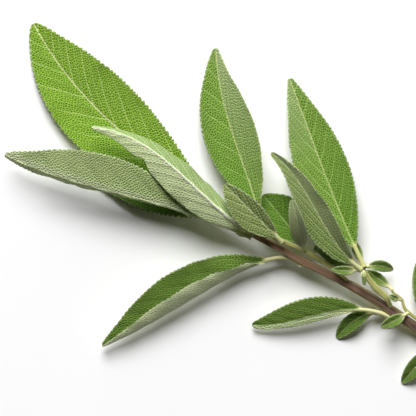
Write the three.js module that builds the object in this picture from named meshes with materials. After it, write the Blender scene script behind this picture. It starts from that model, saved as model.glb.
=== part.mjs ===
// A cut sprig of common sage, lying on a flat surface. Millimetres, +Z up.
//
// The sprig is a square main stem with three side shoots. Every leaf, shoot and bud grows from a
// numbered node of a stem and is placed from it, so it follows when the stem's sizes change.
// Headings are measured in plan, in degrees anticlockwise from +X. Heights are above the surface.

import * as THREE from "three";

// ---- Driving sizes -------------------------------------------------------------------------

const LEAF_THICKNESS = 0.6; // blade, between its ribs
const JOINT_GAP = 0.3; // left between a stalk and the stem that it grows from
const STALK_RADIUS = 0.65; // leaf stalk of a full-grown leaf, where it meets the stem
const STALK_SHARE = 0.09; // a narrower leaf's stalk radius, as a share of the leaf's width
const STALK_LEAST_RADIUS = 0.1; // added to that share, so that the smallest leaf still has a stalk
const RIB_TIP_RADIUS = 0.12; // the midrib's radius at the leaf's tip
const STEM_SQUARENESS = 0.1; // how far the stem's four ridges stand out, as a share of its radius
const BLADE_OPENING = 4; // a blade is fully open where its half width is this many midrib radii

// Cut end of the main stem, which rests on the surface.
const MAIN_STEM_BASE_RADIUS = 1.75;
const MAIN_STEM_TIP_RADIUS = 0.95;

// Each stem runs from its base to its tip. An internode is [length, heading, height of its far end].
const STEMS = [
  {
    name: "main_stem",
    baseRadius: MAIN_STEM_BASE_RADIUS,
    tipRadius: MAIN_STEM_TIP_RADIUS,
    internodes: [
      [10, 145.4, 2.4],
      [14.5, 146, 3.2],
      [12.6, 147.7, 4],
      [16, 153, 5],
      [16.3, 151.2, 6],
    ],
  },
  {
    name: "upper_shoot_stem",
    on: "main_stem",
    node: 3,
    around: -45,
    baseRadius: 0.85,
    tipRadius: 0.5,
    internodes: [
      [14.6, 150, 6.6],
      [3.4, 149, 7],
      [6.4, 157, 7.8],
      [5.8, 156, 8.4],
    ],
  },
  {
    name: "middle_shoot_stem",
    on: "main_stem",
    node: 2,
    around: -45,
    baseRadius: 1.05,
    tipRadius: 0.8,
    internodes: [
      [7.6, 141, 5.8],
      [7.1, 128, 7],
    ],
  },
  {
    name: "lower_shoot_stem",
    on: "main_stem",
    node: 1,
    around: -60,
    baseRadius: 0.6,
    tipRadius: 0.35,
    internodes: [
      [11.1, 146, 4.6],
      [4.1, 118, 4.8],
      [3.5, 140, 4.9],
    ],
  },
];

// A leaf grows from node `node` of stem `on`, at `around` degrees about that stem (0 on top, 90 on
// its left). Its tip is `reach` away in plan along `heading`. `bend` holds the two handles of its
// centre line as [share of the way, share to the left], and `heights` those of both handles and the
// tip. `stalk` is the bare stalk's length, `left` and `right` are the blade's half widths, and each
// fold is the half's rise beside the midrib in degrees, at the blade's base and at its tip. `curl` is
// what the rise gains on its way to the margin, and `roll` turns the whole leaf about its midrib.
const UPSIDE_DOWN = 180;
const LEAF_DEFAULTS = {
  bend: [[0.33, 0], [0.67, 0]],
  stalk: 2,
  foldLeft: [20, 20],
  foldRight: [20, 20],
  curlLeft: 10,
  curlRight: 10,
  roll: 0,
  widest: 0.5,
  fullness: 2,
  stations: 14,
  columns: 3,
};
const SMALL_LEAF = { stations: 9, columns: 2, stalk: 1, curlLeft: 5, curlRight: 5 };
const BUD = { stations: 6, columns: 2, stalk: 0.4, foldLeft: [50, 50], foldRight: [50, 50] };

const LEAVES = [
  // At the tip of the main stem.
  {
    name: "largest_leaf", on: "main_stem", node: 5, around: -120,
    reach: 85, heading: 136.2, bend: [[0.33, 0.05], [0.66, 0.12]], heights: [4, 1.5, 0.35],
    stalk: 15, left: 11.4, right: 11.1, foldLeft: [0, 4], foldRight: [8, 8], widest: 0.55,
  },
  {
    name: "long_leaf", on: "main_stem", node: 5, around: 60,
    reach: 72.5, heading: 162.3, bend: [[0.33, -0.05], [0.67, 0.045]], heights: [10, 10.8, 7.5],
    stalk: 16, left: 6, right: 10, foldLeft: [-110, -72], foldRight: [14, 14],
  },
  {
    name: "turned_leaf", on: "main_stem", node: 5, around: 0,
    reach: 53.7, heading: 146.5, bend: [[0.33, 0.03], [0.67, -0.17]], heights: [14, 15.5, 9.4],
    stalk: 3, left: 5.8, right: 6.2, foldLeft: [42, 62], foldRight: [4, 2], roll: UPSIDE_DOWN,
    widest: 0.4,
  },
  {
    name: "shaded_leaf", on: "main_stem", node: 5, around: 160,
    reach: 49, heading: 160.6, bend: [[0.33, -0.05], [0.67, -0.04]], heights: [3, 1, 0.35],
    stalk: 12, left: 5.2, right: 5.2, foldLeft: [5, 5], foldRight: [5, 5],
  },
  // Along the lower side of the main stem.
  {
    name: "boat_leaf", on: "main_stem", node: 4, around: 100,
    reach: 61, heading: 202.7, bend: [[0.06, -0.21], [0.6, 0]], heights: [4, 6, 3],
    stalk: 10, left: 5.4, right: 9.6, foldLeft: [125, 128], foldRight: [12, 12],
    curlLeft: 32,
  },
  {
    name: "side_leaf", on: "main_stem", node: 2, around: 80,
    reach: 39.6, heading: 185.4, bend: [[0.33, -0.19], [0.67, 0.04]], heights: [6, 4.5, 1.7],
    stalk: 8, left: 1.8, right: 5.6, foldLeft: [-18, -18], foldRight: [16, 16],
  },
  {
    name: "small_side_leaf", on: "main_stem", node: 2, around: 130,
    reach: 17.2, heading: 205, bend: [[0.3, -0.3], [0.62, -0.22]], heights: [3, 2.4, 0.35],
    left: 2.5, right: 2.5, ...SMALL_LEAF, stalk: 5,
  },
  // Near the cut end.
  {
    name: "low_leaf", on: "main_stem", node: 1, around: 90,
    reach: 15.1, heading: 231.5, heights: [3.4, 2.2, 0.35],
    left: 2.6, right: 2.6, ...SMALL_LEAF,
  },
  {
    name: "edge_leaf", on: "main_stem", node: 1, around: -100,
    reach: 22.6, heading: 102.6, bend: [[0.33, 0.08], [0.67, 0.1]], heights: [4, 3.6, 2],
    left: 2.9, right: 2.9, ...SMALL_LEAF,
  },
  // On the upper shoot.
  {
    name: "tall_leaf", on: "upper_shoot_stem", node: 4, around: -90,
    reach: 53.2, heading: 104.3, bend: [[0.33, 0], [0.67, 0.08]], heights: [6.2, 2, 0.8],
    stalk: 6, left: 8.3, right: 9.4, foldLeft: [8, 8], foldRight: [42, 46], widest: 0.47,
  },
  {
    name: "grey_leaf", on: "upper_shoot_stem", node: 3, around: 20,
    reach: 22.4, heading: 135.5, heights: [12, 12.5, 11.5],
    stalk: 2, left: 5.2, right: 3.2, foldLeft: [12, 12], foldRight: [18, 18],
  },
  {
    name: "broad_leaf", on: "upper_shoot_stem", node: 2, around: -100,
    reach: 19, heading: 126, heights: [5.6, 5, 4.4],
    stalk: 1.5, left: 5.4, right: 6.5, foldLeft: [10, 10], foldRight: [10, 10],
  },
  {
    name: "narrow_leaf", on: "upper_shoot_stem", node: 2, around: 0,
    reach: 14.4, heading: 103.5, heights: [15, 18, 18],
    left: 2.7, right: 2.3, foldLeft: [22, 22], foldRight: [32, 32], ...SMALL_LEAF,
  },
  {
    name: "upper_shoot_bud", on: "upper_shoot_stem", node: 1, around: -70,
    reach: 3.2, heading: 80, heights: [7, 7.4, 7.8], left: 0.7, right: 0.7, ...BUD,
  },
  // At the tip of the middle shoot.
  {
    name: "curled_leaf", on: "middle_shoot_stem", node: 2, around: 10,
    reach: 40.9, heading: 128, bend: [[0.33, 0.1], [0.67, -0.1]], heights: [10.5, 11.5, 9.5],
    stalk: 3, left: 5.9, right: 5, foldLeft: [15, 40], foldRight: [38, 42], widest: 0.42,
  },
  {
    name: "right_leaf", on: "middle_shoot_stem", node: 2, around: -50,
    reach: 56.8, heading: 110.5, bend: [[0.33, 0.03], [0.67, 0.01]], heights: [6.5, 4.5, 2],
    stalk: 6, left: 8.6, right: 7.3, foldLeft: [14, 30], foldRight: [8, 8], widest: 0.46,
  },
  {
    name: "hidden_leaf", on: "middle_shoot_stem", node: 2, around: -140,
    reach: 8.6, heading: 106, heights: [4.8, 4.2, 3.8], left: 1.4, right: 1.4, ...SMALL_LEAF,
  },
  {
    name: "dark_leaf", on: "middle_shoot_stem", node: 2, around: 115,
    reach: 13.5, heading: 156, heights: [6.4, 6.8, 6.8], left: 1.9, right: 1.9, ...SMALL_LEAF,
  },
  {
    name: "first_small_leaf", on: "middle_shoot_stem", node: 2, around: 62,
    reach: 8.4, heading: 181, heights: [8.8, 9.2, 9], left: 1.4, right: 1.4, ...SMALL_LEAF,
  },
  {
    name: "second_small_leaf", on: "middle_shoot_stem", node: 2, around: -90,
    reach: 9, heading: -2, bend: [[0.33, 0.1], [0.67, 0.1]], heights: [6, 5.4, 3.6],
    left: 1.8, right: 1.6, ...SMALL_LEAF,
  },
  {
    name: "middle_shoot_bud", on: "middle_shoot_stem", node: 2, around: -20,
    reach: 4.6, heading: -80, heights: [9.4, 9.2, 8.6], left: 1, right: 1, ...BUD,
  },
  // On the lower shoot.
  {
    name: "third_small_leaf", on: "lower_shoot_stem", node: 3, around: -60,
    reach: 9.2, heading: 140.5, heights: [4.6, 4.2, 3.6], left: 1.6, right: 1.6, ...SMALL_LEAF,
  },
  {
    name: "fourth_small_leaf", on: "lower_shoot_stem", node: 2, around: 60,
    reach: 3.7, heading: 160, heights: [7, 7.4, 7.2], left: 1, right: 1, ...SMALL_LEAF,
  },
  {
    name: "fifth_small_leaf", on: "lower_shoot_stem", node: 1, around: 45,
    reach: 8.8, heading: 208.3, heights: [7, 7, 6], left: 1.8, right: 1.8, ...SMALL_LEAF,
  },
  // Young growth at the very tip.
  {
    name: "tip_bud", on: "main_stem", node: 5, around: 110,
    reach: 4.8, heading: 176, heights: [5, 5, 5], left: 0.8, right: 0.8, ...BUD,
  },
  {
    name: "tip_bract", on: "main_stem", node: 5, around: -50,
    reach: 4.8, heading: 133, heights: [7, 7.4, 7.4], left: 0.7, right: 0.7, ...BUD,
  },
];

const LEAF_GREEN = new THREE.MeshStandardMaterial({ color: 0x6f9a3c, roughness: 0.85 });
const LEAF_GREY_GREEN = new THREE.MeshStandardMaterial({ color: 0xa9b892, roughness: 0.95 });
const STEM_BROWN = new THREE.MeshStandardMaterial({ color: 0x6b4a42, roughness: 0.7 });
const SHOOT_GREEN = new THREE.MeshStandardMaterial({ color: 0xa7a860, roughness: 0.75 });

// ---- Geometry helpers ----------------------------------------------------------------------

const UP = new THREE.Vector3(0, 0, 1);
const { degToRad, lerp, smoothstep } = THREE.MathUtils;

function inPlan(length, heading) {
  const angle = degToRad(heading);
  return new THREE.Vector3(length * Math.cos(angle), length * Math.sin(angle), 0);
}

// The directions to the left of a line and out of its top, at `tangent`.
function crossAxes(tangent) {
  const left = new THREE.Vector3().crossVectors(UP, tangent).normalize();
  return { left, top: new THREE.Vector3().crossVectors(tangent, left) };
}

// A closed solid through rings of points. Each ring runs anticlockwise as seen from the solid's far
// end, and all rings have the same number of points.
function loft(rings) {
  const size = rings[0].length;
  const middleOf = (ring) =>
    ring.reduce((sum, point) => sum.add(point), new THREE.Vector3()).divideScalar(size);
  const points = [...rings.flat(), middleOf(rings[0]), middleOf(rings.at(-1))];
  const faces = [];
  for (let ring = 1; ring < rings.length; ring++) {
    for (let k = 0; k < size; k++) {
      const next = (k + 1) % size;
      const [a, b] = [(ring - 1) * size + k, (ring - 1) * size + next];
      const [c, d] = [ring * size + next, ring * size + k];
      faces.push(a, b, c, a, c, d);
    }
  }
  const last = (rings.length - 1) * size;
  const [startMiddle, endMiddle] = [last + size, last + size + 1];
  for (let k = 0; k < size; k++) {
    const next = (k + 1) % size;
    faces.push(startMiddle, next, k);
    faces.push(endMiddle, last + k, last + next);
  }
  const geometry = new THREE.BufferGeometry().setFromPoints(points);
  geometry.setIndex(faces);
  geometry.computeVertexNormals();
  return geometry;
}

// ---- Stems ---------------------------------------------------------------------------------

const STEM_SIDES = 8;
const STEPS_PER_INTERNODE = 4;
const CURVE_TENSION = 0.5;
const stems = new Map();

// The point, growth direction and radius of a stem at one of its nodes.
function nodeOf(stemName, node) {
  const { curve, spec } = stems.get(stemName);
  const share = node / spec.internodes.length;
  return {
    point: curve.getPoint(share),
    growth: curve.getTangent(share),
    radius: lerp(spec.baseRadius, spec.tipRadius, share),
  };
}

// How far a stem's surface is from its centre, at an angle about it (0 on top).
function stemSurface(radius, angle) {
  return radius * (1 - STEM_SQUARENESS * Math.cos(4 * angle));
}

// Where something of this radius starts, when it grows from a stem's node in this direction.
function attachment(grown, radius, direction) {
  const { point, growth, radius: stemRadius } = nodeOf(grown.on, grown.node);
  const { left, top } = crossAxes(growth);
  const angle = degToRad(grown.around);
  const outwards = top.multiplyScalar(Math.cos(angle)).addScaledVector(left, Math.sin(angle));
  const aslant = new THREE.Vector3().crossVectors(outwards, direction).length();
  const clearance = stemSurface(stemRadius, angle) + JOINT_GAP + radius * aslant;
  return point.addScaledVector(outwards, clearance);
}

function growStem(spec) {
  const [[, firstHeading]] = spec.internodes;
  const start = spec.on
    ? attachment(spec, spec.baseRadius * (1 + STEM_SQUARENESS), inPlan(1, firstHeading))
    : new THREE.Vector3(0, 0, stemSurface(spec.baseRadius, 0));
  const nodes = [start];
  for (const [length, heading, height] of spec.internodes) {
    const next = nodes.at(-1).clone().add(inPlan(length, heading));
    next.z = height;
    nodes.push(next);
  }
  const curve = new THREE.CatmullRomCurve3(nodes, false, "catmullrom", CURVE_TENSION);
  stems.set(spec.name, { curve, spec });
}

function stemSolid({ curve, spec }) {
  const rings = [];
  const steps = STEPS_PER_INTERNODE * spec.internodes.length;
  for (let step = 0; step <= steps; step++) {
    const share = step / steps;
    const centre = curve.getPoint(share);
    const { left, top } = crossAxes(curve.getTangent(share));
    const radius = lerp(spec.baseRadius, spec.tipRadius, share);
    const ring = [];
    for (let side = 0; side < STEM_SIDES; side++) {
      const angle = (2 * Math.PI * side) / STEM_SIDES;
      const surface = stemSurface(radius, angle);
      ring.push(
        centre.clone()
          .addScaledVector(left, -surface * Math.sin(angle))
          .addScaledVector(top, surface * Math.cos(angle)),
      );
    }
    rings.push(ring);
  }
  return loft(rings);
}

// ---- Leaves --------------------------------------------------------------------------------

// The handles of a leaf's centre line between its start and its tip.
function handlesBetween(start, tip, leaf) {
  const along = tip.clone().sub(start).setZ(0);
  const left = new THREE.Vector3().crossVectors(UP, along);
  return leaf.bend.map(([share, aside], i) =>
    start.clone().addScaledVector(along, share).addScaledVector(left, aside).setZ(leaf.heights[i]),
  );
}

// The centre line of a leaf: from the stem's surface, over its two handles, to the tip.
function centreLine(leaf, stalkRadius) {
  const { point } = nodeOf(leaf.on, leaf.node);
  const tip = point.clone().add(inPlan(leaf.reach, leaf.heading)).setZ(leaf.heights[2]);
  const direction = handlesBetween(point, tip, leaf)[0].sub(point).normalize();
  const start = attachment(leaf, stalkRadius, direction);
  return new THREE.CubicBezierCurve3(start, ...handlesBetween(start, tip, leaf), tip);
}

// Half width of the blade as a share of its largest, from base (0) to tip (1).
function outline(share, { widest, fullness }) {
  if (share <= 0 || share >= 1) return 0;
  const rise = (share / widest) ** widest;
  const fall = ((1 - share) / (1 - widest)) ** (1 - widest);
  return (rise * fall) ** fullness;
}

// Points across one half of the blade, from the midrib outwards: how far out and up each one is, and
// the angle at which the blade rises there.
function halfSection(halfWidth, fold, curl, columns) {
  const points = [];
  let [out, up] = [0, 0];
  for (let column = 1; column <= columns; column++) {
    const angle = degToRad(fold + (curl * (column - 0.5)) / columns);
    out += (halfWidth / columns) * Math.cos(angle);
    up += (halfWidth / columns) * Math.sin(angle);
    points.push({ out, up, angle });
  }
  return points;
}

function leafSolid(leaf) {
  const stalkRadius = Math.min(
    STALK_RADIUS,
    STALK_SHARE * (leaf.left + leaf.right) + STALK_LEAST_RADIUS,
  );
  const curve = centreLine(leaf, stalkRadius);
  const roll = degToRad(leaf.roll);
  const bladeStart = leaf.stalk / curve.getLength();
  const rings = [];
  for (let station = 0; station <= leaf.stations; station++) {
    const share = station / leaf.stations;
    const centre = curve.getPointAt(share);
    const { left, top } = crossAxes(curve.getTangentAt(share));
    const sideways = left.clone().multiplyScalar(Math.cos(roll)).addScaledVector(top, Math.sin(roll));
    const upwards = top.clone().multiplyScalar(Math.cos(roll)).addScaledVector(left, -Math.sin(roll));
    const bladeShare = (share - bladeStart) / (1 - bladeStart);
    const rib = lerp(stalkRadius, RIB_TIP_RADIUS, share);
    const place = (out, up) =>
      centre.clone().addScaledVector(sideways, out).addScaledVector(upwards, up);

    // One half: pairs of points on its upper and lower faces, and its edge.
    const half = (maxWidth, fold, curl, sign) => {
      const blade = maxWidth * outline(bladeShare, leaf);
      const halfWidth = Math.hypot(rib, blade);
      const open = smoothstep(blade, 0, BLADE_OPENING * rib);
      const rise = lerp(fold[0], fold[1], bladeShare) * open;
      const points = halfSection(halfWidth, rise, curl * open, leaf.columns);
      return points.map(({ out, up, angle }, i) => {
        const fromRib = (halfWidth * (i + 1)) / leaf.columns;
        const ribHeight = fromRib < rib ? Math.sqrt(rib * rib - fromRib * fromRib) : 0;
        const depth = i === leaf.columns - 1 ? 0 : Math.max(LEAF_THICKNESS / 2, ribHeight);
        const [tiltOut, tiltUp] = [-Math.sin(angle) * depth, Math.cos(angle) * depth];
        return {
          upper: place(sign * (out + tiltOut), up + tiltUp),
          lower: place(sign * (out - tiltOut), up - tiltUp),
          rise,
        };
      });
    };
    const leftHalf = half(leaf.left, leaf.foldLeft, leaf.curlLeft, 1);
    const rightHalf = half(leaf.right, leaf.foldRight, leaf.curlRight, -1);
    // The midrib's faces look along the bisector of the two halves.
    const lean = degToRad((leftHalf[0].rise - rightHalf[0].rise) / 2);
    const depth = Math.max(LEAF_THICKNESS / 2, rib);
    const ribUpper = place(-Math.sin(lean) * depth, Math.cos(lean) * depth);
    const ribLower = place(Math.sin(lean) * depth, -Math.cos(lean) * depth);
    const inner = (points) => points.slice(0, -1);
    rings.push([
      ribUpper,
      ...rightHalf.map((p) => p.upper),
      ...inner(rightHalf).reverse().map((p) => p.lower),
      ribLower,
      ...inner(leftHalf).map((p) => p.lower),
      ...leftHalf.reverse().map((p) => p.upper),
    ]);
  }
  return loft(rings);
}

// ---- The sprig -----------------------------------------------------------------------------

const sprig = new THREE.Group();

function addPiece(name, geometry, material) {
  const mesh = new THREE.Mesh(geometry, material);
  mesh.name = name;
  sprig.add(mesh);
}

for (const spec of STEMS) {
  growStem(spec);
  addPiece(spec.name, stemSolid(stems.get(spec.name)), spec.on ? SHOOT_GREEN : STEM_BROWN);
}
for (const row of LEAVES) {
  const leaf = { ...LEAF_DEFAULTS, ...row };
  addPiece(leaf.name, leafSolid(leaf), leaf.roll === UPSIDE_DOWN ? LEAF_GREY_GREEN : LEAF_GREEN);
}

// The part's origin is on the surface, under the middle of the sprig.
const extent = new THREE.Box3().setFromObject(sprig, true);
const middle = extent.getCenter(new THREE.Vector3());
sprig.position.set(-middle.x, -middle.y, -extent.min.z);

export default sprig;
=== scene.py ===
"""A cut sprig of common sage lying on a pale table, seen from straight above.

Lengths are in millimetres until a mesh is made, and in metres from there on. The sprig grows here as
it does in the design: stems first, then every leaf from its own node of a stem.
"""

import math

import bpy
import numpy as np
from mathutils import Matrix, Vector


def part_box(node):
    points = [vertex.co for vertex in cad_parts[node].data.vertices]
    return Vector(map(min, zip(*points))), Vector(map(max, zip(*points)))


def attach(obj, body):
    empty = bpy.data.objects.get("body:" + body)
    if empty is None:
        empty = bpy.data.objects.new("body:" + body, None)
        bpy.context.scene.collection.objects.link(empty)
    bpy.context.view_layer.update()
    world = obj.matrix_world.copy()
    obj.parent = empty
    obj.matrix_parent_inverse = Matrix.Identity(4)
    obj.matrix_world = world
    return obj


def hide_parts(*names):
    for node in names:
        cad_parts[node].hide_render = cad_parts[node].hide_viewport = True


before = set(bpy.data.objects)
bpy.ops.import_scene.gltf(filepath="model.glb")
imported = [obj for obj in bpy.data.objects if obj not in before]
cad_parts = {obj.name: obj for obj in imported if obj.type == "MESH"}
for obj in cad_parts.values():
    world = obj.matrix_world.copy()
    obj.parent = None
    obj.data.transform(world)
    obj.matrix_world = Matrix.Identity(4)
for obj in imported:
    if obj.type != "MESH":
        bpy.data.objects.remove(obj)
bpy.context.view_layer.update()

MM = 0.001

# ---- The sprig's growth, as designed ----------------------------------------------------------

STALK_RADIUS = 0.65
STALK_SHARE = 0.09  # of a small leaf's width, for its thinner stalk
RIB_TIP_RADIUS = 0.12
STEM_SQUARENESS = 0.1
DESIGN_GAP = 0.3  # what the design leaves between a stalk and its stem
STALK_SINK = 0.35  # how far a stalk's foot grows into its stem here
MAIN_STEM_BASE_RADIUS = 1.75
MAIN_STEM_TIP_RADIUS = 0.95

# Internodes are [length, heading, height of the far end].
STEMS = {
    "main_stem": dict(
        base=MAIN_STEM_BASE_RADIUS, tip=MAIN_STEM_TIP_RADIUS,
        internodes=[
            (10, 145.4, 2.4), (14.5, 146, 3.2), (12.6, 147.7, 4), (16, 153, 5), (16.3, 151.2, 6),
        ],
    ),
    "upper_shoot_stem": dict(
        on="main_stem", node=3, around=-45, base=0.85, tip=0.5,
        internodes=[(14.6, 150, 6.6), (3.4, 149, 7), (6.4, 157, 7.8), (5.8, 156, 8.4)],
    ),
    "middle_shoot_stem": dict(
        on="main_stem", node=2, around=-45, base=1.05, tip=0.8,
        internodes=[(7.6, 141, 5.8), (7.1, 128, 7)],
    ),
    "lower_shoot_stem": dict(
        on="main_stem", node=1, around=-60, base=0.6, tip=0.35,
        internodes=[(11.1, 146, 4.6), (4.1, 118, 4.8), (3.5, 140, 4.9)],
    ),
}

PLAIN = dict(
    bend=((0.33, 0), (0.67, 0)), stalk=2, fold_left=(20, 20), fold_right=(20, 20),
    curl_left=10, curl_right=10, roll=0, widest=0.5, fullness=2,
)
SMALL = dict(stalk=1, curl_left=5, curl_right=5)
BUD = dict(stalk=0.4, fold_left=(50, 50), fold_right=(50, 50))

LEAVES = {
    "largest_leaf": dict(
        on="main_stem", node=5, around=-120, reach=85, heading=136.2,
        bend=((0.33, 0.05), (0.66, 0.12)), heights=(4, 1.5, 0.35), stalk=15,
        left=11.4, right=11.1, fold_left=(0, 4), fold_right=(8, 8), widest=0.55,
    ),
    "long_leaf": dict(
        on="main_stem", node=5, around=60, reach=72.5, heading=162.3,
        bend=((0.33, -0.05), (0.67, 0.045)), heights=(10, 10.8, 7.5), stalk=16,
        left=6, right=10, fold_left=(-110, -72), fold_right=(14, 14),
    ),
    "turned_leaf": dict(
        on="main_stem", node=5, around=0, reach=53.7, heading=146.5,
        bend=((0.33, 0.03), (0.67, -0.17)), heights=(14, 15.5, 9.4), stalk=3,
        left=5.8, right=6.2, fold_left=(42, 62), fold_right=(4, 2), roll=180, widest=0.4,
    ),
    "shaded_leaf": dict(
        on="main_stem", node=5, around=160, reach=49, heading=160.6,
        bend=((0.33, -0.05), (0.67, -0.04)), heights=(3, 1, 0.35), stalk=12,
        left=5.2, right=5.2, fold_left=(5, 5), fold_right=(5, 5),
    ),
    "boat_leaf": dict(
        on="main_stem", node=4, around=100, reach=61, heading=202.7,
        bend=((0.06, -0.21), (0.6, 0)), heights=(4, 6, 3), stalk=10,
        left=5.4, right=9.6, fold_left=(125, 128), fold_right=(12, 12), curl_left=32,
    ),
    "side_leaf": dict(
        on="main_stem", node=2, around=80, reach=39.6, heading=185.4,
        bend=((0.33, -0.19), (0.67, 0.04)), heights=(6, 4.5, 1.7), stalk=8,
        left=1.8, right=5.6, fold_left=(-18, -18), fold_right=(16, 16),
    ),
    "small_side_leaf": dict(
        on="main_stem", node=2, around=130, reach=17.2, heading=205,
        bend=((0.3, -0.3), (0.62, -0.22)), heights=(3, 2.4, 0.35), left=2.5, right=2.5,
        **SMALL | dict(stalk=5),
    ),
    "low_leaf": dict(
        on="main_stem", node=1, around=90, reach=15.1, heading=231.5,
        heights=(3.4, 2.2, 0.35), left=2.6, right=2.6, **SMALL,
    ),
    "edge_leaf": dict(
        on="main_stem", node=1, around=-100, reach=22.6, heading=102.6,
        bend=((0.33, 0.08), (0.67, 0.1)), heights=(4, 3.6, 2), left=2.9, right=2.9, **SMALL,
    ),
    "tall_leaf": dict(
        on="upper_shoot_stem", node=4, around=-90, reach=53.2, heading=104.3,
        bend=((0.33, 0), (0.67, 0.08)), heights=(6.2, 2, 0.8), stalk=6,
        left=8.3, right=9.4, fold_left=(8, 8), fold_right=(42, 46), widest=0.47,
    ),
    "grey_leaf": dict(
        on="upper_shoot_stem", node=3, around=20, reach=22.4, heading=135.5,
        heights=(12, 12.5, 11.5), left=5.2, right=3.2, fold_left=(12, 12), fold_right=(18, 18),
    ),
    "broad_leaf": dict(
        on="upper_shoot_stem", node=2, around=-100, reach=19, heading=126,
        heights=(5.6, 5, 4.4), stalk=1.5, left=5.4, right=6.5, fold_left=(10, 10), fold_right=(10, 10),
    ),
    "narrow_leaf": dict(
        on="upper_shoot_stem", node=2, around=0, reach=14.4, heading=103.5,
        heights=(15, 18, 18), left=2.7, right=2.3, fold_left=(22, 22), fold_right=(32, 32), **SMALL,
    ),
    "upper_shoot_bud": dict(
        on="upper_shoot_stem", node=1, around=-70, reach=3.2, heading=80,
        heights=(7, 7.4, 7.8), left=0.7, right=0.7, **BUD,
    ),
    "curled_leaf": dict(
        on="middle_shoot_stem", node=2, around=10, reach=40.9, heading=128,
        bend=((0.33, 0.1), (0.67, -0.1)), heights=(10.5, 11.5, 9.5), stalk=3,
        left=5.9, right=5, fold_left=(15, 40), fold_right=(38, 42), widest=0.42,
    ),
    "right_leaf": dict(
        on="middle_shoot_stem", node=2, around=-50, reach=56.8, heading=110.5,
        bend=((0.33, 0.03), (0.67, 0.01)), heights=(6.5, 4.5, 2), stalk=6,
        left=8.6, right=7.3, fold_left=(14, 30), fold_right=(8, 8), widest=0.46,
    ),
    "hidden_leaf": dict(
        on="middle_shoot_stem", node=2, around=-140, reach=8.6, heading=106,
        heights=(4.8, 4.2, 3.8), left=1.4, right=1.4, **SMALL,
    ),
    "dark_leaf": dict(
        on="middle_shoot_stem", node=2, around=115, reach=13.5, heading=156,
        heights=(6.4, 6.8, 6.8), left=1.9, right=1.9, **SMALL,
    ),
    "first_small_leaf": dict(
        on="middle_shoot_stem", node=2, around=62, reach=8.4, heading=181,
        heights=(8.8, 9.2, 9), left=1.4, right=1.4, **SMALL,
    ),
    "second_small_leaf": dict(
        on="middle_shoot_stem", node=2, around=-90, reach=9, heading=-2,
        bend=((0.33, 0.1), (0.67, 0.1)), heights=(6, 5.4, 3.6), left=1.8, right=1.6, **SMALL,
    ),
    "middle_shoot_bud": dict(
        on="middle_shoot_stem", node=2, around=-20, reach=4.6, heading=-80,
        heights=(9.4, 9.2, 8.6), left=1, right=1, **BUD,
    ),
    "third_small_leaf": dict(
        on="lower_shoot_stem", node=3, around=-60, reach=9.2, heading=140.5,
        heights=(4.6, 4.2, 3.6), left=1.6, right=1.6, **SMALL,
    ),
    "fourth_small_leaf": dict(
        on="lower_shoot_stem", node=2, around=60, reach=3.7, heading=160,
        heights=(7, 7.4, 7.2), left=1, right=1, **SMALL,
    ),
    "fifth_small_leaf": dict(
        on="lower_shoot_stem", node=1, around=45, reach=8.8, heading=208.3,
        heights=(7, 7, 6), left=1.8, right=1.8, **SMALL,
    ),
    "tip_bud": dict(
        on="main_stem", node=5, around=110, reach=4.8, heading=176,
        heights=(5, 5, 5), left=0.8, right=0.8, **BUD,
    ),
    "tip_bract": dict(
        on="main_stem", node=5, around=-50, reach=4.8, heading=133,
        heights=(7, 7.4, 7.4), left=0.7, right=0.7, **BUD,
    ),
}

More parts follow.
